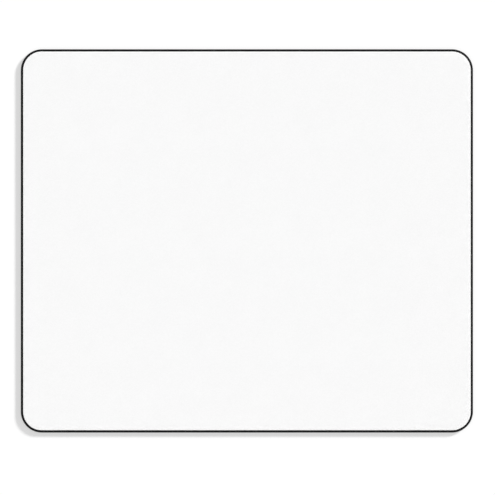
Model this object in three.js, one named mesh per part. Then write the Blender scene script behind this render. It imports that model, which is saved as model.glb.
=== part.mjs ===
// A mouse pad: a thin, flexible laminate with round corners that lies flat on a desk.
// Units are millimetres and +Z is up. X runs along the long side and Y along the short side. The
// origin is on the desk, under the middle of the pad.
// From the desk upwards the layers are the grip skin, the foam core, the bonding film and the top
// cloth. The cloth is cut smaller than the foam, so a thin rim of black foam shows all round it.
import * as THREE from "three";

// The outline seen from above, out to the widest line of the foam's edge.
const padLength = 230;
const padWidth = 195;
const cornerRadius = 10.7;

// The grip skin: a dense rubber sheet. The cut leaves a small round along its lower edge.
const skinThickness = 0.4;
const skinInset = 0.3;
const skinEdgeRound = 0.15;

// The foam core: die-cut, so its side springs out into a soft bulge. It is widest a little below
// half height, draws in to its foot, and rounds over at the top to a flat rim round the cloth.
const coreThickness = 2.07;
const coreWidestShare = 0.41;
const coreFootInset = 0.25;
const coreShoulderInset = 0.35;
const rimWidth = 1.24;

// The bonding film: a hot-melt sheet that stays just inside the cut edge of the cloth.
const filmThickness = 0.1;
const filmInset = 0.1;

// The top cloth: a fine knit whose upper edge is rolled over by the cut.
const clothThickness = 0.4;
const clothEdgeRound = 0.12;

// Left between bonded faces, so that neighbouring layers never share a face.
const bondClearance = 0.01;

// Counts of the straight steps that stand for curves. A path takes two steps for each division.
const cornerDivisions = 8;
const shoulderSteps = 6;
const footSteps = 3;
const edgeRoundSteps = 3;

const quarterTurn = Math.PI / 2;

// The pad's outline drawn in by an inset: four straight sides and four round corners. The corners
// keep their centres, so every ring of a layer runs parallel to the others.
function outlineRing(inset) {
  const reachX = padLength / 2 - cornerRadius;
  const reachY = padWidth / 2 - cornerRadius;
  const radius = cornerRadius - inset;
  const path = new THREE.Path();
  path.absarc(reachX, reachY, radius, 0, quarterTurn);
  path.absarc(-reachX, reachY, radius, quarterTurn, 2 * quarterTurn);
  path.absarc(-reachX, -reachY, radius, 2 * quarterTurn, 3 * quarterTurn);
  path.absarc(reachX, -reachY, radius, 3 * quarterTurn, 4 * quarterTurn);
  return path.getPoints(cornerDivisions);
}

// One closed layer, lofted through levels from the bottom up. Each level is an inset from the
// pad's outline and a height above the layer's own underside.
function layerGeometry(levels) {
  const rings = levels.map(({ inset }) => outlineRing(inset));
  const ringSize = rings[0].length;
  const positions = [];
  rings.forEach((ring, level) => {
    ring.forEach((point) => positions.push(point.x, point.y, levels[level].height));
  });

  const indices = [];
  for (let level = 0; level + 1 < rings.length; level++) {
    for (let step = 0; step < ringSize; step++) {
      const next = (step + 1) % ringSize;
      const lower = level * ringSize;
      const upper = lower + ringSize;
      indices.push(lower + step, lower + next, upper + next);
      indices.push(lower + step, upper + next, upper + step);
    }
  }

  const topStart = (rings.length - 1) * ringSize;
  for (const [a, b, c] of THREE.ShapeUtils.triangulateShape(rings[0], [])) {
    indices.push(a, c, b);
    indices.push(topStart + a, topStart + b, topStart + c);
  }

  const geometry = new THREE.BufferGeometry();
  geometry.setAttribute("position", new THREE.Float32BufferAttribute(positions, 3));
  geometry.setIndex(indices);
  geometry.computeVertexNormals();
  return geometry;
}

// Levels along a quarter of an ellipse that starts upright at its outer side and turns inwards as
// it climbs. It covers the height from base to top and moves in from outerInset by depth.
function turnedOverLevels(outerInset, depth, base, top, steps) {
  const levels = [];
  for (let step = 0; step <= steps; step++) {
    const angle = (step / steps) * quarterTurn;
    levels.push({
      inset: outerInset + depth * (1 - Math.cos(angle)),
      height: base + (top - base) * Math.sin(angle),
    });
  }
  return levels;
}

// The same curve upside down: it starts drawn in by depth at the base and ends upright at the top.
function turnedUnderLevels(outerInset, depth, base, top, steps) {
  const levels = turnedOverLevels(outerInset, depth, base, top, steps);
  return levels.reverse().map(({ inset, height }) => ({ inset, height: base + top - height }));
}

function gripSkin() {
  const round = turnedUnderLevels(skinInset, skinEdgeRound, 0, skinEdgeRound, edgeRoundSteps);
  return layerGeometry([...round, { inset: skinInset, height: skinThickness }]);
}

function foamCore() {
  const widest = coreWidestShare * coreThickness;
  const foot = turnedUnderLevels(0, coreFootInset, 0, widest, footSteps);
  const shoulder = turnedOverLevels(0, coreShoulderInset, widest, coreThickness, shoulderSteps);
  return layerGeometry([...foot, ...shoulder.slice(1)]);
}

function bondingFilm() {
  const inset = rimWidth + filmInset;
  return layerGeometry([
    { inset, height: 0 },
    { inset, height: filmThickness },
  ]);
}

function topCloth() {
  const roundBase = clothThickness - clothEdgeRound;
  const round = turnedOverLevels(rimWidth, clothEdgeRound, roundBase, clothThickness, edgeRoundSteps);
  return layerGeometry([{ inset: rimWidth, height: 0 }, ...round]);
}

// A named layer with its own finish, its underside at the given height.
function layerMesh(name, geometry, base, { color, roughness }) {
  const material = new THREE.MeshStandardMaterial({ color, roughness, metalness: 0 });
  const mesh = new THREE.Mesh(geometry, material);
  mesh.name = name;
  mesh.position.z = base;
  return mesh;
}

const whiteKnit = { color: 0xf4f4f4, roughness: 0.9 };
const clearGlue = { color: 0xe6e3da, roughness: 0.45 };
const blackFoam = { color: 0x1c1c1d, roughness: 0.85 };
const blackRubber = { color: 0x202021, roughness: 0.7 };

// The rubber base: the skin on the desk and the foam on the skin.
const rubberBase = new THREE.Group();
const coreBase = skinThickness + bondClearance;
rubberBase.add(layerMesh("grip_skin", gripSkin(), 0, blackRubber));
rubberBase.add(layerMesh("foam_core", foamCore(), coreBase, blackFoam));

// The working face: the film on the foam and the cloth on the film.
const workingFace = new THREE.Group();
const clothBase = filmThickness + bondClearance;
workingFace.position.z = coreBase + coreThickness + bondClearance;
workingFace.add(layerMesh("bonding_film", bondingFilm(), 0, clearGlue));
workingFace.add(layerMesh("top_cloth", topCloth(), clothBase, whiteKnit));

const mousePad = new THREE.Group();
mousePad.add(rubberBase, workingFace);

export default mousePad;
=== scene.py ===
"""Dresses a flat mouse pad: knit cloth on a thin film, a foam core and a moulded grip skin."""

import math

import bmesh
import bpy
from bpy.props import FloatProperty, FloatVectorProperty, IntProperty, PointerProperty
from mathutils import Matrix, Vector, noise


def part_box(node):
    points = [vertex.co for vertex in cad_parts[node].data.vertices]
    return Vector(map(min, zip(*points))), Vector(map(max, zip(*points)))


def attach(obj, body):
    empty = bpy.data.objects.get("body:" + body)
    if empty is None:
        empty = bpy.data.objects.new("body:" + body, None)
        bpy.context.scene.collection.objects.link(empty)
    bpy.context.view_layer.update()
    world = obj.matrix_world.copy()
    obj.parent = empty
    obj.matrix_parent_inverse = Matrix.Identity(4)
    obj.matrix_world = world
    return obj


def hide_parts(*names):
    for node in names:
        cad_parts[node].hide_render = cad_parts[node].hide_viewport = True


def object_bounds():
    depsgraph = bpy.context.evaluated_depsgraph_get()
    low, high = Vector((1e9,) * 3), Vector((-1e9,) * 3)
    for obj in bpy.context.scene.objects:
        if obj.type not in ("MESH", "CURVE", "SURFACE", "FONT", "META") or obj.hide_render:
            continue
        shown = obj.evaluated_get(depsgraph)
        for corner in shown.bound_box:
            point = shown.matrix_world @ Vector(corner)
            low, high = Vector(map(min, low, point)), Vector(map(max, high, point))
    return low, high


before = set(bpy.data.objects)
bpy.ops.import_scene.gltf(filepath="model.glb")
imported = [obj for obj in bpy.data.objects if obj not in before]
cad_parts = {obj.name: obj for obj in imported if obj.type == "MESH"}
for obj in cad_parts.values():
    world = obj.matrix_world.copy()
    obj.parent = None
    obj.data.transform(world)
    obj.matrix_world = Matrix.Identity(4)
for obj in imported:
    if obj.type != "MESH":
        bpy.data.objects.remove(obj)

bl_info = {
    "name": "Mouse pad",
    "version": (1, 0, 0),
    "blender": (4, 5, 0),
    "location": "3D View > Sidebar > Mouse pad",
    "description": "Makes the cloth, film, foam and grip skin of a flat mouse pad, and its stage",
    "category": "Object",
}

CAD_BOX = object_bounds()
QUARTER_TURN = math.pi / 2
FULL_TURN = 2 * math.pi
UP = Vector((0, 0, 1))

# The middle of a stitch, a diamond, a turn or a step, counted from its start.
HALF_WAY = 0.5

# Digits that the sidebar shows after the point of a length.
LENGTH_DIGITS = 5

# The foam is the widest layer, so the highest corner of its box gives the pad's outline.
PAD_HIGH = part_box("foam_core")[1]

# Even cells that every flat face is laid out in, along the sides and round the corners.
LONG_SIDE_CELLS = 36
SHORT_SIDE_CELLS = 30
CORNER_CELLS = 4
CELLS_ACROSS_CORNER = 2

# Points along each of those cells on the outline of a piece, more where more of it shows.
CLOTH_PARTS = 40
FILM_PARTS = 8
FOAM_PARTS = 24
SKIN_PARTS = 4

# Steps of the rounded edges and corners, the cloth's pressed rim and the foam's flat ledge.
CLOTH_ROUND_STEPS = 3
PRESS_STEPS = 4
FOOT_STEPS = 8
SHOULDER_STEPS = 12
LEDGE_STEPS = 4
SKIN_ROUND_STEPS = 3
SKIN_CORNER_STEPS = 24

# Width of the fan of faces that joins a finely stepped ring to the even cells, in metres.
FAN_WIDTH = 0.0012

# Points closer than this are one point, in metres.
WELD_DISTANCE = 1e-7

# Faces that meet at more than this angle meet in a sharp edge.
SHARP_FROM = math.radians(60)

# The map that a bake goes through, and how many repeats aside a piece's hidden face lies on it.
BAKE_MAP = "OFBake"
REPEATS_ASIDE = 10

# How far up, or down, a face has to point to count as the side that its piece hides.
HIDDEN_TILT = 0.5

# Photographed frame: its width on the pad, in metres, and its middle seen from the pad's middle.
VIEW_WIDTH = 0.2517
VIEW_MIDDLE = Vector((0.00031, -0.00335, 0))

# Lens of the camera, in millimetres, and how far the floor reaches each way, in metres.
CAMERA_LENS = 400
FLOOR_REACH = 6

# Every noise adds this many finer layers to its first one.
NOISE_DETAIL = 3

# Most of what Blender's noise and cell textures give lies between these values.
NOISE_LOW = 0.3
NOISE_HIGH = 0.7
CELL_LOW = 0.1
CELL_HIGH = 0.5

# Shape of a knitted stitch: the power that brings the top of a leg towards its foot, how far its
# fibres lean outwards in one course, as a share of a wale, and how much height they add to it.
LEG_TOP_POWER = 0.6
FIBRE_LEAN_SHARE = 0.25
FIBRE_HEIGHT_SHARE = 0.25


def length(name, description, default):
    """A length in metres that shows in the sidebar."""
    return FloatProperty(
        name=name,
        description=description,
        default=default,
        min=0,
        precision=LENGTH_DIGITS,
        unit="LENGTH",
    )


def count(name, description, default):
    """A whole number that shows in the sidebar."""
    return IntProperty(name=name, description=description, default=default, min=1)


def share(name, description, default):
    """A share from 0 to 1 that shows in the sidebar."""
    return FloatProperty(
        name=name, description=description, default=default, min=0, max=1, subtype="FACTOR"
    )


def span(name, description, default):
    """Two shares that show in the sidebar: what a look runs from, and what it runs to."""
    return FloatVectorProperty(name=name, description=description, default=default, size=2, min=0)


def colour(name, description, default):
    """A colour that shows in the sidebar."""
    return FloatVectorProperty(
        name=name, description=description, default=default, min=0, max=1, subtype="COLOR"
    )


def angle(name, description, degrees):
    """An angle that shows in the sidebar, its default given in degrees."""
    return FloatProperty(
        name=name, description=description, default=math.radians(degrees), unit="ROTATION"
    )


class OutlineSettings(bpy.types.PropertyGroup):
    """The outline that every layer follows."""

    corner_radius: length("Corner radius", "Radius of the pad's outline at its corners", 0.0107)


class ClothSettings(bpy.types.PropertyGroup):
    """The white knit on top."""

    colour: colour("Yarn", "Colour of the yarn", (0.95, 0.95, 0.95))
    wale_pitch: length("Wale pitch", "Width of one column of stitches", 0.00058)
    course_pitch: length("Course pitch", "Height of one row of stitches", 0.00046)
    relief: length("Relief", "Height of a stitch over the gaps beside it", 0.00006)
    fibre_width: length("Fibre width", "Width of the fibres that show on the yarn", 0.00003)
    wander: length("Wander", "How far the stitches wander from their rows", 0.00015)
    wander_length: length("Wander length", "Distance over which the stitches wander", 0.005)
    patch_size: length("Patch size", "Size of the patches of slightly brighter yarn", 0.012)
    fray: length("Fray", "How far the cut edge wanders in and out", 0.00004)
    edge_round: length("Edge round", "Radius of the rolled upper edge", 0.00006)
    pressed_width: length("Pressed width", "How far in from its edge the cut pressed it", 0.0012)
    pressed_depth: length("Pressed depth", "How deep the cut pressed the edge", 0.00002)
    repeat_wales: count("Repeat wales", "Wales after which the knit repeats", 96)
    repeat_courses: count("Repeat courses", "Courses after which the knit repeats", 120)
    # Painted shade: the gaps between the stitches are painted darker than their tops.
    painted_gap_shade: span("Height shade", "Brightness of the gaps and of the stitches", (0.95, 1))
    stitch_shade: span("Stitch shade", "Brightness of the darkest and palest stitch", (0.975, 1))
    patch_shade: span("Patch shade", "Brightness of the darkest and palest patches", (0.99, 1))
    roughness: span("Roughness", "Roughness of the darkest and palest patches", (0.82, 0.92))
    gloss: share("Gloss", "Strength of the yarn's reflections", 0.15)
    sheen: share("Sheen", "Strength of the fibres' soft sheen", 0.05)
    sheen_roughness: share("Sheen roughness", "How widely the sheen spreads", 0.5)


class FilmSettings(bpy.types.PropertyGroup):
    """The hot-melt film under the cloth."""

    colour: colour("Film", "Colour of the set film", (0.78, 0.76, 0.7))
    wander: length("Wander", "How far the film's edge wanders in and out", 0.00006)
    wander_length: length("Wander length", "Distance over which the film's edge wanders", 0.0009)
    bubble_size: length("Bubble size", "Distance between neighbouring bubbles", 0.0004)
    bubble_relief: length("Bubble relief", "Height of a bubble", 0.00001)
    cloud_size: length("Cloud size", "Size of the milkier patches", 0.002)
    repeat: length("Repeat", "Distance after which the film's look repeats", 0.02)
    cloud_shade: span("Cloud shade", "Brightness of the clear and milky patches", (0.9, 1))
    roughness: span("Roughness", "Roughness of the bubbles and between them", (0.55, 0.4))


class FoamSettings(bpy.types.PropertyGroup):
    """The foam rubber core and its cut edge."""

    colour: colour("Foam", "Colour of the foam rubber", (0.015, 0.015, 0.0155))
    widest_share: share("Widest share", "Height of the widest line, as a share of the core", 0.41)
    foot_inset: length("Foot inset", "How far the edge draws in to its foot", 0.00025)
    shoulder_depth: length("Shoulder depth", "How far its upper edge rounds over", 0.00035)
    pore_pitch: length("Pore pitch", "Distance between neighbouring large pores", 0.00055)
    pore_depth: length("Pore depth", "Depth of the largest pores in the cut edge", 0.00008)
    pore_spread: share("Pore spread", "How much smaller the smallest pores are", 0.5)
    cell_size: length("Cell size", "Distance between neighbouring fine cells", 0.00016)
    cell_relief: length("Cell relief", "Depth of the fine cells", 0.00003)
    drag_width: length("Drag width", "Width of the marks that the knife left", 0.00025)
    drag_length: length("Drag length", "Height of the marks that the knife left", 0.003)
    drag_relief: length("Drag relief", "Depth of the marks that the knife left", 0.00003)
    dust_size: length("Dust size", "Size of the dustier patches", 0.004)
    repeat: length("Repeat", "Distance after which the foam's look repeats", 0.02)
    # Painted shade: the hollows of the fine cells are painted darker than the foam between them.
    painted_cell_shade: span("Cell shade", "Brightness of the fine cells and between them", (0.55, 1.1))
    dust_shade: span("Dust shade", "Brightness of the clean and dusty patches", (0.85, 1.15))
    roughness: span("Roughness", "Roughness of the fine cells and between them", (0.95, 0.8))
    gloss: share("Gloss", "Strength of the foam's reflections", 0)


class SkinSettings(bpy.types.PropertyGroup):
    """The grip skin and its moulded pattern."""

    colour: colour("Rubber", "Colour of the dense rubber", (0.018, 0.018, 0.0185))
    edge_round: length("Edge round", "Radius of the lower edge", 0.00015)
    pitch: length("Pitch", "Distance from one moulded diamond to the next", 0.0024)
    land_share: share("Land share", "Side of a diamond's land, as a share of the pitch", 0.62)
    shoulder_share: share("Shoulder share", "Side of its shoulder, as a share of the pitch", 0.7)
    shoulder_drop: length("Shoulder drop", "How far the shoulder stands back from the land", 0.00002)
    groove_depth: length("Groove depth", "Depth of the grooves between the diamonds", 0.0002)
    grain_size: length("Grain size", "Size of the rubber's fine grain", 0.00025)
    grain_relief: length("Grain relief", "Height of the rubber's fine grain", 0.000015)
    wear_size: length("Wear size", "Size of the worn and dusty patches", 0.02)
    repeat_diamonds: count("Repeat diamonds", "Diamonds after which the wear repeats", 12)
    dust_shade: span("Dust shade", "Brightness of clean rubber and dusty grooves", (1, 1.2))
    # Painted shade: the grain's hollows are painted darker than its tops.
    painted_grain_shade: span("Grain shade", "Brightness of the grain's hollows and tops", (0.85, 1.1))
    roughness: span("Roughness", "Roughness of new and worn rubber", (0.75, 0.55))
    gloss: share("Gloss", "Strength of the rubber's reflections", 0.35)


class StageSettings(bpy.types.PropertyGroup):
    """The floor, the lights and the camera."""

    floor_colour: colour("Floor", "Colour of the floor", (0.455, 0.455, 0.455))
    floor_glow: share("Floor glow", "Light that the floor adds where it is seen", 0.532)
    sky_strength: share("Sky", "Strength of the even light from all round", 0.4)
    sun_strength: FloatProperty(
        name="Sun", description="Strength of the main light", default=4.33, min=0
    )
    sun_height: angle("Sun height", "Height of the main light over the floor", 29.8)
    sun_bearing: angle("Sun bearing", "Bearing of the main light from +X towards +Y", 37.5)
    sun_size: angle("Sun size", "Width of the main light in the sky", 12)


def heading(bearing):
    """The level direction at an angle from +X towards +Y."""
    return Vector((math.cos(bearing), math.sin(bearing), 0))


def straight_reach(radius):
    """How far the pad's straight sides reach from its middle, along X and along Y."""
    return PAD_HIGH.x - radius, PAD_HIGH.y - radius


def corner_centres(radius):
    """Middles of the four corners' arcs, anticlockwise from the far right one."""
    reach_x, reach_y = straight_reach(radius)
    signs = ((1, 1), (-1, 1), (-1, -1), (1, -1))
    return [Vector((sign_x * reach_x, sign_y * reach_y, 0)) for sign_x, sign_y in signs]


def outline_stations(radius, parts):
    """Points on the pad's outline and their outward directions, anticlockwise.

    They start where the right side meets the far right corner. Each cell of the outline is cut
    into the given number of parts.
    """
    centres = corner_centres(radius)
    corner_steps = CORNER_CELLS * parts
    stations = []
    for turn, centre in enumerate(centres):
        for step in range(corner_steps):
            outward = heading((turn + step / corner_steps) * QUARTER_TURN)
            stations.append((centre + radius * outward, outward))
        outward = heading((turn + 1) * QUARTER_TURN)
        next_centre = centres[(turn + 1) % len(centres)]
        side_steps = parts * (SHORT_SIDE_CELLS if turn % 2 else LONG_SIDE_CELLS)
        for step in range(side_steps):
            middle = centre.lerp(next_centre, step / side_steps)
            stations.append((middle + radius * outward, outward))
    return stations


def turned_over(outer_inset, depth, base, top, steps):
    """Levels along a quarter of an ellipse: upright at its outer side, then turning inwards."""
    levels = []
    for step in range(steps + 1):
        turn = step / steps * QUARTER_TURN
        inset = outer_inset + depth * (1 - math.cos(turn))
        levels.append((inset, base + (top - base) * math.sin(turn)))
    return levels


def turned_under(outer_inset, depth, base, top, steps):
    """The same levels upside down: drawn in at the base, upright at the top."""
    levels = turned_over(outer_inset, depth, base, top, steps)
    return [(inset, base + top - height) for inset, height in reversed(levels)]


def quads_between(lower, upper):
    """The corners of each quad that joins two rings of like count."""
    for step in range(len(lower)):
        after = (step + 1) % len(lower)
        yield lower[step], lower[after], upper[after], upper[step]


class LayerMesh:
    """The points and faces of one closed layer of the pad, built up ring by ring."""

    def __init__(self, radius, parts):
        self.radius = radius
        self.parts = parts
        self.stations = outline_stations(radius, parts)
        self.points = []
        self.faces = []

    def add_points(self, points):
        """Keeps points and returns their numbers."""
        first = len(self.points)
        self.points.extend(points)
        return list(range(first, len(self.points)))

    def ring(self, inset, height, every=1):
        """A ring at an inset from the outline, with all stations or one out of every so many."""
        lift = height * UP
        stations = self.stations[::every]
        return self.add_points(place - inset * outward + lift for place, outward in stations)

    def band(self, lower, upper):
        """Joins two rings of like count with quads."""
        self.faces.extend(quads_between(lower, upper))

    def loft(self, levels):
        """Rings through levels of inset and height, joined."""
        rings = [self.ring(inset, height) for inset, height in levels]
        for lower, upper in zip(rings, rings[1:]):
            self.band(lower, upper)
        return rings

    def draw_in(self, ring, amounts):
        """Moves each point of a full ring inwards by its own amount."""
        for number, amount, (_, outward) in zip(ring, amounts, self.stations):
            self.points[number] -= amount * outward

    def thin_out(self, fine, inset, height):
        """Joins a fine ring to a ring with one point for each cell, and returns that ring."""
        coarse = self.ring(inset, height, self.parts)
        for cell in range(len(coarse)):
            near = coarse[cell]
            far = coarse[(cell + 1) % len(coarse)]
            first = cell * self.parts
            cut = [fine[(first + part) % len(fine)] for part in range(self.parts + 1)]
            middle = self.parts // 2
            for part in range(self.parts):
                self.faces.append((near if part < middle else far, cut[part], cut[part + 1]))
            self.faces.append((near, cut[middle], far))
        return coarse

    def cap(self, rim, inset, height):
        """Closes a ring of cells with a flat face of even cells."""
        reach = self.radius - inset
        outer = rim
        for step in range(1, CELLS_ACROSS_CORNER + 1):
            inner_inset = inset + reach * step / CELLS_ACROSS_CORNER
            inner = self.ring(inner_inset, height, self.parts)
            self.band(outer, inner)
            outer = inner
        reach_x, reach_y = straight_reach(self.radius)
        rows = []
        for row in range(SHORT_SIDE_CELLS + 1):
            y = reach_y * (2 * row / SHORT_SIDE_CELLS - 1)
            across = (2 * column / LONG_SIDE_CELLS - 1 for column in range(LONG_SIDE_CELLS + 1))
            rows.append(self.add_points(Vector((reach_x * x, y, height)) for x in across))
        for near, far in zip(rows, rows[1:]):
            for column in range(LONG_SIDE_CELLS):
                after = column + 1
                self.faces.append((near[column], near[after], far[after], far[column]))

    def close(self, ring, inset, height):
        """Closes a fine ring at an inset with a fan of faces and even cells inside it."""
        cell_inset = inset + FAN_WIDTH
        self.cap(self.thin_out(ring, cell_inset, height), cell_inset, height)

    def add_to(self, mesh):
        """Adds the layer's points and faces to a bmesh and joins the points that meet."""
        corners = [mesh.verts.new(point) for point in self.points]
        for face in self.faces:
            mesh.faces.new([corners[number] for number in face])
        bmesh.ops.remove_doubles(mesh, verts=mesh.verts, dist=WELD_DISTANCE)
        return mesh


def add_object(name, data):
    """Puts an object with the given data into the scene and returns it."""
    added = bpy.data.objects.new(name, data)
    bpy.context.scene.collection.objects.link(added)
    return added


def finish_piece(name, mesh, material, node):
    """Turns a bmesh into a piece that stands for a CAD node and rides with the pad."""
    bmesh.ops.recalc_face_normals(mesh, faces=mesh.faces)
    if not all(edge.is_manifold for edge in mesh.edges):
        raise RuntimeError(f"{name} isn't one closed surface")
    data = bpy.data.meshes.new(name)
    mesh.to_mesh(data)
    mesh.free()
    data.shade_smooth()
    data.set_sharp_from_angle(angle=SHARP_FROM)
    data.materials.append(material)
    piece = add_object(name, data)
    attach(piece, "root")
    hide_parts(node)
    return piece


def feed(tree, socket, value):
    """Links a socket to another node's output, or sets it to a number."""
    if isinstance(value, bpy.types.NodeSocket):
        tree.links.new(value, socket)
    else:
        socket.default_value = value


def calculate(tree, operation, *values):
    """The output of a Math node that works on numbers or outputs."""
    node = tree.nodes.new("ShaderNodeMath")
    node.operation = operation
    for socket, value in zip(node.inputs, values):
        feed(tree, socket, value)
    return node.outputs["Value"]


def remap(tree, value, low, high, new_low, new_high):
    """The output of a node that moves a value from one range to another and keeps it there."""
    node = tree.nodes.new("ShaderNodeMapRange")
    feed(tree, node.inputs["Value"], value)
    for name, number in (
        ("From Min", low),
        ("From Max", high),
        ("To Min", new_low),
        ("To Max", new_high),
    ):
        node.inputs[name].default_value = number
    return node.outputs["Result"]


def vector(tree, x, y, z):
    """The output that joins three numbers or outputs into a vector."""
    node = tree.nodes.new("ShaderNodeCombineXYZ")
    for socket, value in zip(node.inputs, (x, y, z)):
        feed(tree, socket, value)
    return node.outputs["Vector"]


def position(tree):
    """The output that gives each point's place on the pad, in metres."""
    return tree.nodes.new("ShaderNodeTexCoord").outputs["Object"]


def noise_node(tree, place):
    """A noise node at a place, with patches about 1 across."""
    node = tree.nodes.new("ShaderNodeTexNoise")
    tree.links.new(place, node.inputs["Vector"])
    node.inputs["Scale"].default_value = 1
    node.inputs["Detail"].default_value = NOISE_DETAIL
    return node


def mottled(tree, node):
    """The output of a noise node, spread over 0 to 1."""
    return remap(tree, node.outputs["Fac"], NOISE_LOW, NOISE_HIGH, 0, 1)


def mottle(tree, sizes):
    """Smooth noise, from 0 to 1, whose patches have the given size along X, Y and Z."""
    place = tree.nodes.new("ShaderNodeVectorMath")
    place.operation = "DIVIDE"
    tree.links.new(position(tree), place.inputs[0])
    place.inputs[1].default_value = sizes
    return mottled(tree, noise_node(tree, place.outputs["Vector"]))


def seamless_noise(tree, size, repeat):
    """A noise node whose patches have the given size, and which repeats along X and along Y.

    X and Y each run round a circle whose girth is one repeat, so the pattern has no seam.
    """
    axes = tree.nodes.new("ShaderNodeSeparateXYZ")
    tree.links.new(position(tree), axes.inputs["Vector"])
    place = []
    for axis, girth in zip("XY", repeat):
        turn = calculate(tree, "MULTIPLY", axes.outputs[axis], FULL_TURN / girth)
        reach = girth / (FULL_TURN * size)
        for wave in ("COSINE", "SINE"):
            place.append(calculate(tree, "MULTIPLY", calculate(tree, wave, turn), reach))
    *first_three, fourth = place
    node = noise_node(tree, vector(tree, *first_three))
    node.noise_dimensions = "4D"
    tree.links.new(fourth, node.inputs["W"])
    return node


def seamless_mottle(tree, size, repeat):
    """Smooth noise, from 0 to 1, that repeats along X and along Y."""
    return mottled(tree, seamless_noise(tree, size, repeat))


def cells(tree, size):
    """1 midway between points about the given size apart, falling to 0 at the points."""
    node = tree.nodes.new("ShaderNodeTexVoronoi")
    tree.links.new(position(tree), node.inputs["Vector"])
    node.inputs["Scale"].default_value = 1 / size
    return remap(tree, node.outputs["Distance"], CELL_LOW, CELL_HIGH, 0, 1)


def spread(tree, pattern, ends):
    """The output that runs from one end to the other as a pattern runs from 0 to 1."""
    return remap(tree, pattern, 0, 1, *ends)


def shaded(tree, base, *shades):
    """A colour times brightnesses, each given as a pattern and the ends that it runs between."""
    brightness = 1
    for pattern, ends in shades:
        brightness = calculate(tree, "MULTIPLY", spread(tree, pattern, ends), brightness)
    node = tree.nodes.new("ShaderNodeVectorMath")
    node.operation = "SCALE"
    node.inputs[0].default_value = base
    tree.links.new(brightness, node.inputs["Scale"])
    return node.outputs["Vector"]


def bumped(tree, height, relief):
    """The normal of a surface whose height, from 0 to 1, stands for a relief in metres."""
    node = tree.nodes.new("ShaderNodeBump")
    node.inputs["Distance"].default_value = relief
    tree.links.new(height, node.inputs["Height"])
    return node.outputs["Normal"]


def new_material(name, base):
    """A material with its node tree and its main shader."""
    material = bpy.data.materials.new(name)
    material.use_nodes = True
    material.diffuse_color = (*base, 1)
    return material, material.node_tree, material.node_tree.nodes["Principled BSDF"]


def knit_repeat(cloth):
    """The distances across and along the wales after which the knit repeats."""
    return cloth.repeat_wales * cloth.wale_pitch, cloth.repeat_courses * cloth.course_pitch


def knit_place(tree, cloth):
    """Place on the knit in stitches, across the wales and along them.

    The stitches wander a little from their rows, as they do once the cloth is bonded.
    """
    drift = seamless_noise(tree, cloth.wander_length, knit_repeat(cloth))
    moved = tree.nodes.new("ShaderNodeVectorMath")
    moved.operation = "MULTIPLY_ADD"
    tree.links.new(drift.outputs["Color"], moved.inputs[0])
    moved.inputs[1].default_value = (cloth.wander, cloth.wander, cloth.wander)
    tree.links.new(position(tree), moved.inputs[2])
    place = tree.nodes.new("ShaderNodeSeparateXYZ")
    tree.links.new(moved.outputs["Vector"], place.inputs["Vector"])
    across = calculate(tree, "DIVIDE", place.outputs["X"], cloth.wale_pitch)
    along = calculate(tree, "DIVIDE", place.outputs["Y"], cloth.course_pitch)
    return across, along


def knit_stitches(tree, cloth):
    """Height of the knit from 0 to 1, and a shade of its own for each stitch, from 0 to 1.

    Each stitch has two legs that lean outwards. A leg rises fast at its foot, where it comes out
    of the stitch before, and sinks slowly towards its head.
    """
    across, along = knit_place(tree, cloth)
    wale = calculate(tree, "WRAP", calculate(tree, "FLOOR", across), cloth.repeat_wales, 0)
    from_middle = calculate(tree, "SUBTRACT", calculate(tree, "FRACT", across), HALF_WAY)
    off_middle = calculate(tree, "ABSOLUTE", from_middle)
    leg = calculate(tree, "SINE", calculate(tree, "MULTIPLY", off_middle, FULL_TURN))
    climbed = calculate(tree, "SUBTRACT", along, off_middle)
    climbed = calculate(tree, "WRAP", climbed, cloth.repeat_courses, 0)
    part_way = calculate(tree, "POWER", calculate(tree, "FRACT", climbed), LEG_TOP_POWER)
    bulge = calculate(tree, "SINE", calculate(tree, "MULTIPLY", part_way, math.pi))
    body = calculate(tree, "SQRT", calculate(tree, "MULTIPLY", leg, bulge))

    leaning = calculate(tree, "MULTIPLY_ADD", climbed, -FIBRE_LEAN_SHARE, off_middle)
    fibre_across = calculate(tree, "MULTIPLY", leaning, cloth.wale_pitch / cloth.fibre_width)
    fibres = mottled(tree, noise_node(tree, vector(tree, fibre_across, climbed, wale)))
    height = calculate(tree, "MULTIPLY_ADD", fibres, FIBRE_HEIGHT_SHARE, body)

    stitch = tree.nodes.new("ShaderNodeTexWhiteNoise")
    course = calculate(tree, "FLOOR", climbed)
    tree.links.new(vector(tree, wale, course, 0), stitch.inputs["Vector"])
    return calculate(tree, "DIVIDE", height, 1 + FIBRE_HEIGHT_SHARE), stitch.outputs["Value"]


def knit_material(cloth):
    """Matt white knit: stitches in relief, painted shade in the gaps between them, a soft sheen, and
    slightly uneven yarn.
    """
    material, tree, shader = new_material("white_knit", cloth.colour)
    height, stitch = knit_stitches(tree, cloth)
    patches = seamless_mottle(tree, cloth.patch_size, knit_repeat(cloth))
    shades = (
        # The knit's height paints shade into the gaps between the stitches; the stitch and patch
        # shades are the yarn's own uneven tone.
        (height, cloth.painted_gap_shade),
        (stitch, cloth.stitch_shade),
        (patches, cloth.patch_shade),
    )
    tree.links.new(shaded(tree, cloth.colour, *shades), shader.inputs["Base Color"])
    tree.links.new(spread(tree, patches, cloth.roughness), shader.inputs["Roughness"])
    tree.links.new(bumped(tree, height, cloth.relief), shader.inputs["Normal"])
    shader.inputs["Specular IOR Level"].default_value = cloth.gloss
    shader.inputs["Sheen Weight"].default_value = cloth.sheen
    shader.inputs["Sheen Roughness"].default_value = cloth.sheen_roughness
    return material


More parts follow.
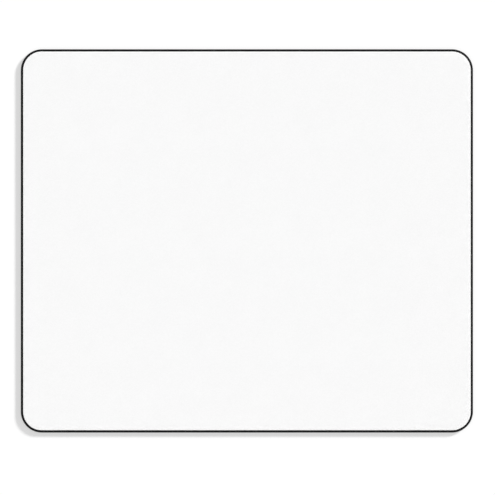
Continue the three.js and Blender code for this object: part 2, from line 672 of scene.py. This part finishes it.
def film_material(film):
    """Milky set glue with fine bubbles."""
    material, tree, shader = new_material("set_hot_melt", film.colour)
    bubbles = cells(tree, film.bubble_size)
    clouds = seamless_mottle(tree, film.cloud_size, (film.repeat, film.repeat))
    milky = shaded(tree, film.colour, (clouds, film.cloud_shade))
    tree.links.new(milky, shader.inputs["Base Color"])
    tree.links.new(spread(tree, bubbles, film.roughness), shader.inputs["Roughness"])
    tree.links.new(bumped(tree, bubbles, film.bubble_relief), shader.inputs["Normal"])
    return material


def foam_material(foam):
    """Matt black foam rubber: fine open cells with painted shade in their hollows, upright knife
    marks and a little dust.
    """
    material, tree, shader = new_material("black_foam_rubber", foam.colour)
    fine_cells = cells(tree, foam.cell_size)
    drag = mottle(tree, (foam.drag_width, foam.drag_width, foam.drag_length))
    dust = seamless_mottle(tree, foam.dust_size, (foam.repeat, foam.repeat))
    # The fine cells paint shade into their hollows; the dust is the foam's own colour.
    shades = ((fine_cells, foam.painted_cell_shade), (dust, foam.dust_shade))
    tree.links.new(shaded(tree, foam.colour, *shades), shader.inputs["Base Color"])
    tree.links.new(spread(tree, fine_cells, foam.roughness), shader.inputs["Roughness"])
    drag_share = foam.drag_relief / foam.cell_relief
    height = calculate(tree, "MULTIPLY_ADD", drag, drag_share, fine_cells)
    tree.links.new(bumped(tree, height, foam.cell_relief), shader.inputs["Normal"])
    shader.inputs["Specular IOR Level"].default_value = foam.gloss
    return material


def wear_repeat(skin):
    """The distances along X and Y after which the diamonds and their wear repeat."""
    diamonds = skin.repeat_diamonds * skin.pitch * math.sqrt(2)
    return diamonds, diamonds


def rubber_material(skin, land_height):
    """Dense black rubber: a fine grain with painted shade in its hollows, worn lands, and dust in
    the grooves.
    """
    material, tree, shader = new_material("black_grip_rubber", skin.colour)
    grain = mottle(tree, (skin.grain_size, skin.grain_size, skin.grain_size))
    patches = seamless_mottle(tree, skin.wear_size, wear_repeat(skin))
    place = tree.nodes.new("ShaderNodeSeparateXYZ")
    tree.links.new(position(tree), place.inputs["Vector"])
    floor_height = land_height + skin.groove_depth
    sunk = remap(tree, place.outputs["Z"], land_height, floor_height, 0, 1)
    dust = calculate(tree, "MULTIPLY", sunk, patches)
    # The grain paints shade into its hollows; the dust in the grooves is the rubber's own colour.
    shades = ((dust, skin.dust_shade), (grain, skin.painted_grain_shade))
    tree.links.new(shaded(tree, skin.colour, *shades), shader.inputs["Base Color"])
    worn = calculate(tree, "MULTIPLY", calculate(tree, "SUBTRACT", 1, sunk), patches)
    tree.links.new(spread(tree, worn, skin.roughness), shader.inputs["Roughness"])
    tree.links.new(bumped(tree, grain, skin.grain_relief), shader.inputs["Normal"])
    shader.inputs["Specular IOR Level"].default_value = skin.gloss
    return material


def past_corner(place, radius):
    """How far a place lies past the middle of the nearest corner's arc, along X and Y."""
    reach_x, reach_y = straight_reach(radius)
    return abs(place.x) - reach_x, abs(place.y) - reach_y


def inside_outline(place, radius, inset):
    """Whether a place lies inside the pad's outline drawn in by an inset."""
    over_x, over_y = past_corner(place, radius)
    return math.hypot(max(0, over_x), max(0, over_y)) <= radius - inset


def outward_at(place, radius):
    """The outline's outward direction at a place close to it."""
    over_x, over_y = past_corner(place, radius)
    if over_x <= 0 or over_y <= 0:
        over_x, over_y = (1, 0) if over_x > over_y else (0, 1)
    towards = Vector((math.copysign(over_x, place.x), math.copysign(over_y, place.y), 0))
    return towards.normalized()


def add_bake_map(piece, radius, repeat, rim, faces_down=False):
    """Gives a piece a map on which one repeat of its broad face fills the square that is baked.

    Past its rim the piece is folded out flat. Its hidden face lies apart from that square.
    """
    data = piece.data
    heights = [corner.co.z for corner in data.vertices]
    level = min(heights) if faces_down else max(heights)
    places = []
    for corner in data.vertices:
        place = corner.co
        if not inside_outline(place, radius, rim):
            place = place + abs(place.z - level) * outward_at(place, radius)
        places.append((place.x / repeat[0], place.y / repeat[1]))
    spots = []
    for face in data.polygons:
        hidden = face.normal.z > HIDDEN_TILT if faces_down else face.normal.z < -HIDDEN_TILT
        aside = REPEATS_ASIDE if hidden else 0
        for corner in face.vertices:
            across, along = places[corner]
            spots += (across + aside, along)
    data.uv_layers.new(name=BAKE_MAP).uv.foreach_set("vector", spots)


def inset_of(node):
    """How far a CAD node's side stands in from the pad's outline."""
    return PAD_HIGH.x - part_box(node)[1].x


def fray(place, outward, cloth):
    """How far the cloth's cut edge stands back, mostly between the ends of its stitches."""
    between_wales = (1 - math.cos(FULL_TURN * place.x / cloth.wale_pitch)) / 2
    between_courses = (1 - math.cos(FULL_TURN * place.y / cloth.course_pitch)) / 2
    between = outward.y**2 * between_wales + outward.x**2 * between_courses
    uneven = (1 + noise.noise(place / cloth.wale_pitch)) / 2
    return cloth.fray * (between + uneven - 1) / 2


def make_cloth(outline, cloth):
    """The top cloth: a thin slab with a frayed cut side and a rolled, slightly pressed edge."""
    low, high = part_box("top_cloth")
    inset = inset_of("top_cloth")
    pressed = high.z - cloth.pressed_depth
    base = pressed - cloth.edge_round
    side_levels = [(inset, low.z)]
    side_levels += turned_over(inset, cloth.edge_round, base, pressed, CLOTH_ROUND_STEPS)
    pressed_levels = []
    for step in range(1, PRESS_STEPS + 1):
        share_in = step / PRESS_STEPS
        rise = cloth.pressed_depth * (1 - math.cos(share_in * math.pi)) / 2
        level_inset = inset + cloth.edge_round + share_in * cloth.pressed_width
        pressed_levels.append((level_inset, pressed + rise))
    layer = LayerMesh(outline.corner_radius, CLOTH_PARTS)
    rings = layer.loft(side_levels + pressed_levels)
    frays = [fray(place, outward, cloth) for place, outward in layer.stations]
    for ring, (level_inset, _) in zip(rings, side_levels):
        left = 1 - (level_inset - inset) / cloth.edge_round
        layer.draw_in(ring, [left * amount for amount in frays])
    layer.close(rings[-1], pressed_levels[-1][0], high.z)
    layer.close(rings[0], inset, low.z)
    mesh = layer.add_to(bmesh.new())
    piece = finish_piece("knit_cloth", mesh, knit_material(cloth), "top_cloth")
    add_bake_map(piece, layer.radius, knit_repeat(cloth), inset + cloth.edge_round)


def make_film(outline, film):
    """The bonding film: a thin sheet whose edge wanders a little, as set glue does."""
    low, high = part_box("bonding_film")
    inset = inset_of("bonding_film")
    layer = LayerMesh(outline.corner_radius, FILM_PARTS)
    rings = layer.loft([(inset, low.z), (inset, high.z)])
    places = [place / film.wander_length for place, _ in layer.stations]
    amounts = [film.wander * noise.noise(place) for place in places]
    for ring in rings:
        layer.draw_in(ring, amounts)
    layer.close(rings[-1], inset, high.z)
    layer.close(rings[0], inset, low.z)
    mesh = layer.add_to(bmesh.new())
    piece = finish_piece("bonding_film_sheet", mesh, film_material(film), "bonding_film")
    add_bake_map(piece, layer.radius, (film.repeat, film.repeat), inset)


def pore_depth(place, foam):
    """Depth of the open pores at a place on the foam's cut side. Each has a size of its own."""
    distances, centres = noise.voronoi(place / foam.pore_pitch)
    size = 1 - foam.pore_spread * (1 - noise.cell(centres[0])) / 2
    reach = size / 2
    return foam.pore_depth * size * max(0, 1 - distances[0] / reach)


def make_foam(outline, foam):
    """The foam core: a soft bulge, pitted with open pores, and a flat ledge round the cloth."""
    low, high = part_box("foam_core")
    rim = inset_of("top_cloth")
    widest = low.z + foam.widest_share * (high.z - low.z)
    levels = turned_under(0, foam.foot_inset, low.z, widest, FOOT_STEPS)
    levels += turned_over(0, foam.shoulder_depth, widest, high.z, SHOULDER_STEPS)[1:]
    ledge = rim - foam.shoulder_depth
    for step in range(1, LEDGE_STEPS + 1):
        levels.append((foam.shoulder_depth + ledge * step / LEDGE_STEPS, high.z))
    layer = LayerMesh(outline.corner_radius, FOAM_PARTS)
    rings = layer.loft(levels)
    layer.close(rings[-1], rim, high.z)
    layer.close(rings[0], rim, low.z)
    mesh = layer.add_to(bmesh.new())
    bmesh.ops.recalc_face_normals(mesh, faces=mesh.faces)
    mesh.normal_update()
    for corner in mesh.verts:
        open_share = 1 - abs(corner.normal.z)
        corner.co -= open_share * pore_depth(corner.co, foam) * corner.normal
    piece = finish_piece("foam_block", mesh, foam_material(foam), "foam_core")
    add_bake_map(piece, layer.radius, (foam.repeat, foam.repeat), rim)


def add_quads(mesh, lower, upper):
    """Joins two rings of a bmesh's points with quads."""
    for quad in quads_between(lower, upper):
        mesh.faces.new(quad)


def add_diamonds(mesh, skin, radius, land):
    """Moulded diamonds at their pitch, over the whole pad and a little past its outline."""
    along = Vector((1, 1, 0)).normalized() * skin.pitch
    across = Vector((-1, 1, 0)).normalized() * skin.pitch
    reach = int((PAD_HIGH.x + PAD_HIGH.y) / skin.pitch)
    grooves = {}

    def groove_corner(i, j):
        if (i, j) not in grooves:
            place = i * along + j * across + (land + skin.groove_depth) * UP
            grooves[i, j] = mesh.verts.new(place)
        return grooves[i, j]

    def square(middle, corners, size, height):
        places = (middle.lerp(corner, size) for corner in corners)
        return [mesh.verts.new(place + height * UP) for place in places]

    for i in range(-reach, reach):
        for j in range(-reach, reach):
            middle = (i + HALF_WAY) * along + (j + HALF_WAY) * across
            if not inside_outline(middle, radius, -skin.pitch):
                continue
            steps = ((i, j), (i + 1, j), (i + 1, j + 1), (i, j + 1))
            corners = [a * along + b * across for a, b in steps]
            foot = [groove_corner(*step) for step in steps]
            shoulder = square(middle, corners, skin.shoulder_share, land + skin.shoulder_drop)
            top = square(middle, corners, skin.land_share, land)
            mesh.faces.new(top)
            add_quads(mesh, foot, shoulder)
            add_quads(mesh, shoulder, top)


def cut_off(mesh, parts, place, outward):
    """Cuts off what lies past a plane, and returns the parts that are left."""
    kept = bmesh.ops.bisect_plane(
        mesh, geom=parts, plane_co=place, plane_no=outward, clear_outer=True, dist=WELD_DISTANCE
    )
    return [part for part in kept["geom"] if part.is_valid]


def past_arc(place, radius, centre, diagonal):
    """Whether a place lies in the corner whose arc has this centre, past it both ways."""
    return min(past_corner(place, radius)) > 0 and (place - centre).dot(diagonal) > 0


def trim(mesh, radius, inset):
    """Cuts a wide sheet down to the pad's outline drawn in by an inset."""
    reach = radius - inset
    centres = corner_centres(radius)
    for turn, centre in enumerate(centres):
        outward = heading(turn * QUARTER_TURN)
        parts = [*mesh.verts, *mesh.edges, *mesh.faces]
        cut_off(mesh, parts, centre + reach * outward, outward)
    step_angle = QUARTER_TURN / SKIN_CORNER_STEPS
    chord_reach = reach * math.cos(step_angle / 2)
    for turn, centre in enumerate(centres):
        diagonal = heading((turn + HALF_WAY) * QUARTER_TURN)
        # Only the faces that reach into this corner's square can meet its cuts.
        near = [
            face
            for face in mesh.faces
            if any(past_arc(corner.co, radius, centre, diagonal) for corner in face.verts)
        ]
        corners_and_edges = (part for face in near for part in (*face.verts, *face.edges))
        parts = [*dict.fromkeys(corners_and_edges), *near]
        for step in range(SKIN_CORNER_STEPS):
            outward = heading(turn * QUARTER_TURN + (step + HALF_WAY) * step_angle)
            parts = cut_off(mesh, parts, centre + chord_reach * outward, outward)


def open_loop(mesh):
    """The points along the open edge of a sheet, in order."""
    edge = next(edge for edge in mesh.edges if edge.is_boundary)
    loop = [edge.verts[0]]
    point = edge.verts[1]
    while point != loop[0]:
        loop.append(point)
        edge = next(other for other in point.link_edges if other.is_boundary and other != edge)
        point = edge.other_vert(point)
    return loop


def raise_wall(mesh, rim, rim_inset, levels, radius):
    """Adds faces from a sheet's rim up through levels of inset and height."""
    lower = rim
    for inset, height in levels:
        upper = []
        for point in rim:
            place = point.co + (rim_inset - inset) * outward_at(point.co, radius)
            place.z = max(place.z, height)
            upper.append(mesh.verts.new(place))
        add_quads(mesh, lower, upper)
        lower = upper


def make_skin(outline, skin):
    """The grip skin: moulded diamonds that stand on the desk, cut through along the outline."""
    low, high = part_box("grip_skin")
    inset = inset_of("grip_skin")
    radius = outline.corner_radius
    pattern_inset = inset + skin.edge_round
    mesh = bmesh.new()
    add_diamonds(mesh, skin, radius, low.z)
    trim(mesh, radius, pattern_inset)
    bmesh.ops.remove_doubles(mesh, verts=mesh.verts, dist=WELD_DISTANCE)
    levels = turned_under(inset, skin.edge_round, low.z, low.z + skin.edge_round, SKIN_ROUND_STEPS)
    levels.append((inset, high.z))
    # The first of these levels is the rim of the pattern itself.
    raise_wall(mesh, open_loop(mesh), pattern_inset, levels[1:], radius)
    layer = LayerMesh(radius, SKIN_PARTS)
    cell_inset = pattern_inset + skin.pitch
    layer.cap(layer.ring(cell_inset, high.z, layer.parts), cell_inset, high.z)
    layer.add_to(mesh)
    open_edges = [edge for edge in mesh.edges if edge.is_boundary]
    bmesh.ops.triangle_fill(mesh, edges=open_edges, use_beauty=True, normal=UP)
    material = rubber_material(skin, low.z)
    piece = finish_piece("grip_skin_sheet", mesh, material, "grip_skin")
    add_bake_map(piece, radius, wear_repeat(skin), pattern_inset, faces_down=True)


def seen_directly(tree):
    """1 where the camera, a reflection or clear glass looks at the surface, otherwise 0."""
    path = tree.nodes.new("ShaderNodeLightPath")
    reflected = calculate(
        tree, "MAXIMUM", path.outputs["Is Glossy Ray"], path.outputs["Is Transmission Ray"]
    )
    return calculate(tree, "MAXIMUM", path.outputs["Is Camera Ray"], reflected)


def floor_material(stage):
    """A plain pale floor that looks white where it is lit and keeps its shadows."""
    material, tree, shader = new_material("pale_floor", stage.floor_colour)
    shader.inputs["Base Color"].default_value = (*stage.floor_colour, 1)
    shader.inputs["Roughness"].default_value = 1
    shader.inputs["Specular IOR Level"].default_value = 0
    shader.inputs["Emission Color"].default_value = (1, 1, 1, 1)
    glow = calculate(tree, "MULTIPLY", seen_directly(tree), stage.floor_glow)
    tree.links.new(glow, shader.inputs["Emission Strength"])
    return material


def make_floor(stage):
    """A wide floor at the level of the pad's underside."""
    level = CAD_BOX[0].z
    data = bpy.data.meshes.new("floor")
    signs = ((-1, -1), (1, -1), (1, 1), (-1, 1))
    corners = [(FLOOR_REACH * sign_x, FLOOR_REACH * sign_y, level) for sign_x, sign_y in signs]
    data.from_pydata(corners, [], [range(len(corners))])
    data.materials.append(floor_material(stage))
    floor = add_object("floor", data)


def make_sky(stage):
    """Even light from all round, which is plain white where it is seen."""
    world = bpy.data.worlds.new("even_sky")
    world.use_nodes = True
    tree = world.node_tree
    background = tree.nodes["Background"]
    background.inputs["Color"].default_value = (1, 1, 1, 1)
    strength = remap(tree, seen_directly(tree), 0, 1, stage.sky_strength, 1)
    tree.links.new(strength, background.inputs["Strength"])
    bpy.context.scene.world = world


def make_sun(stage):
    """The main light, from the far right, which throws the pad's narrow soft shadow."""
    towards = math.cos(stage.sun_height) * heading(stage.sun_bearing)
    towards += math.sin(stage.sun_height) * UP
    lamp = bpy.data.lights.new("sun", "SUN")
    lamp.energy = stage.sun_strength
    lamp.angle = stage.sun_size
    sun = add_object("sun", lamp)
    sun.rotation_mode = "QUATERNION"
    sun.rotation_quaternion = towards.to_track_quat("Z", "Y")
    sun.location = towards


def make_camera():
    """A camera straight over the pad, with a long lens."""
    data = bpy.data.cameras.new("camera")
    data.lens = CAMERA_LENS
    distance = VIEW_WIDTH * data.lens / data.sensor_width
    camera = add_object("camera", data)
    camera.location = VIEW_MIDDLE + (PAD_HIGH.z + distance) * UP
    bpy.context.scene.camera = camera


class MOUSEPAD_OT_cloth(bpy.types.Operator):
    """Make the white knit that covers the pad."""

    bl_idname = "mouse_pad.make_cloth"
    bl_label = "Make top cloth"

    def execute(self, context):
        make_cloth(context.scene.pad_outline, context.scene.pad_cloth)
        return {"FINISHED"}


class MOUSEPAD_OT_film(bpy.types.Operator):
    """Make the thin film that holds the cloth on the foam."""

    bl_idname = "mouse_pad.make_film"
    bl_label = "Make bonding film"

    def execute(self, context):
        make_film(context.scene.pad_outline, context.scene.pad_film)
        return {"FINISHED"}


class MOUSEPAD_OT_foam(bpy.types.Operator):
    """Make the foam core with its cut edge."""

    bl_idname = "mouse_pad.make_foam"
    bl_label = "Make foam core"

    def execute(self, context):
        make_foam(context.scene.pad_outline, context.scene.pad_foam)
        return {"FINISHED"}


class MOUSEPAD_OT_skin(bpy.types.Operator):
    """Make the moulded skin that grips the desk."""

    bl_idname = "mouse_pad.make_skin"
    bl_label = "Make grip skin"

    def execute(self, context):
        make_skin(context.scene.pad_outline, context.scene.pad_skin)
        return {"FINISHED"}


class MOUSEPAD_OT_stage(bpy.types.Operator):
    """Make the floor, the lights and the camera."""

    bl_idname = "mouse_pad.make_stage"
    bl_label = "Make stage"

    def execute(self, context):
        stage = context.scene.pad_stage
        context.scene.view_settings.view_transform = "Standard"
        make_floor(stage)
        make_sky(stage)
        make_sun(stage)
        make_camera()
        return {"FINISHED"}


# Each group of settings, under the name by which the scene keeps it.
SETTINGS = {
    "pad_outline": OutlineSettings,
    "pad_skin": SkinSettings,
    "pad_foam": FoamSettings,
    "pad_film": FilmSettings,
    "pad_cloth": ClothSettings,
    "pad_stage": StageSettings,
}

# The operator that makes something from each group of settings.
OPERATORS = {
    "pad_skin": MOUSEPAD_OT_skin,
    "pad_foam": MOUSEPAD_OT_foam,
    "pad_film": MOUSEPAD_OT_film,
    "pad_cloth": MOUSEPAD_OT_cloth,
    "pad_stage": MOUSEPAD_OT_stage,
}


class MOUSEPAD_PT_sidebar(bpy.types.Panel):
    """The pad's sizes and colours, with a button for each layer and for the stage."""

    bl_label = "Mouse pad"
    bl_idname = "MOUSEPAD_PT_sidebar"
    bl_space_type = "VIEW_3D"
    bl_region_type = "UI"
    bl_category = "Mouse pad"

    def draw(self, context):
        for group, settings in SETTINGS.items():
            box = self.layout.box()
            for name in settings.__annotations__:
                box.prop(getattr(context.scene, group), name)
            if group in OPERATORS:
                box.operator(OPERATORS[group].bl_idname)


CLASSES = (*SETTINGS.values(), *OPERATORS.values(), MOUSEPAD_PT_sidebar)


def register():
    """Registers the classes and gives the scene its settings."""
    for each in CLASSES:
        bpy.utils.register_class(each)
    for group, settings in SETTINGS.items():
        setattr(bpy.types.Scene, group, PointerProperty(type=settings))


def unregister():
    """Takes the settings and the classes away again."""
    for group in SETTINGS:
        delattr(bpy.types.Scene, group)
    for each in reversed(CLASSES):
        bpy.utils.unregister_class(each)


def main():
    """Makes the stage and all pieces."""
    register()
    bpy.ops.mouse_pad.make_stage()
    bpy.ops.mouse_pad.make_skin()
    bpy.ops.mouse_pad.make_foam()
    bpy.ops.mouse_pad.make_film()
    bpy.ops.mouse_pad.make_cloth()


if __name__ == "__main__":
    main()
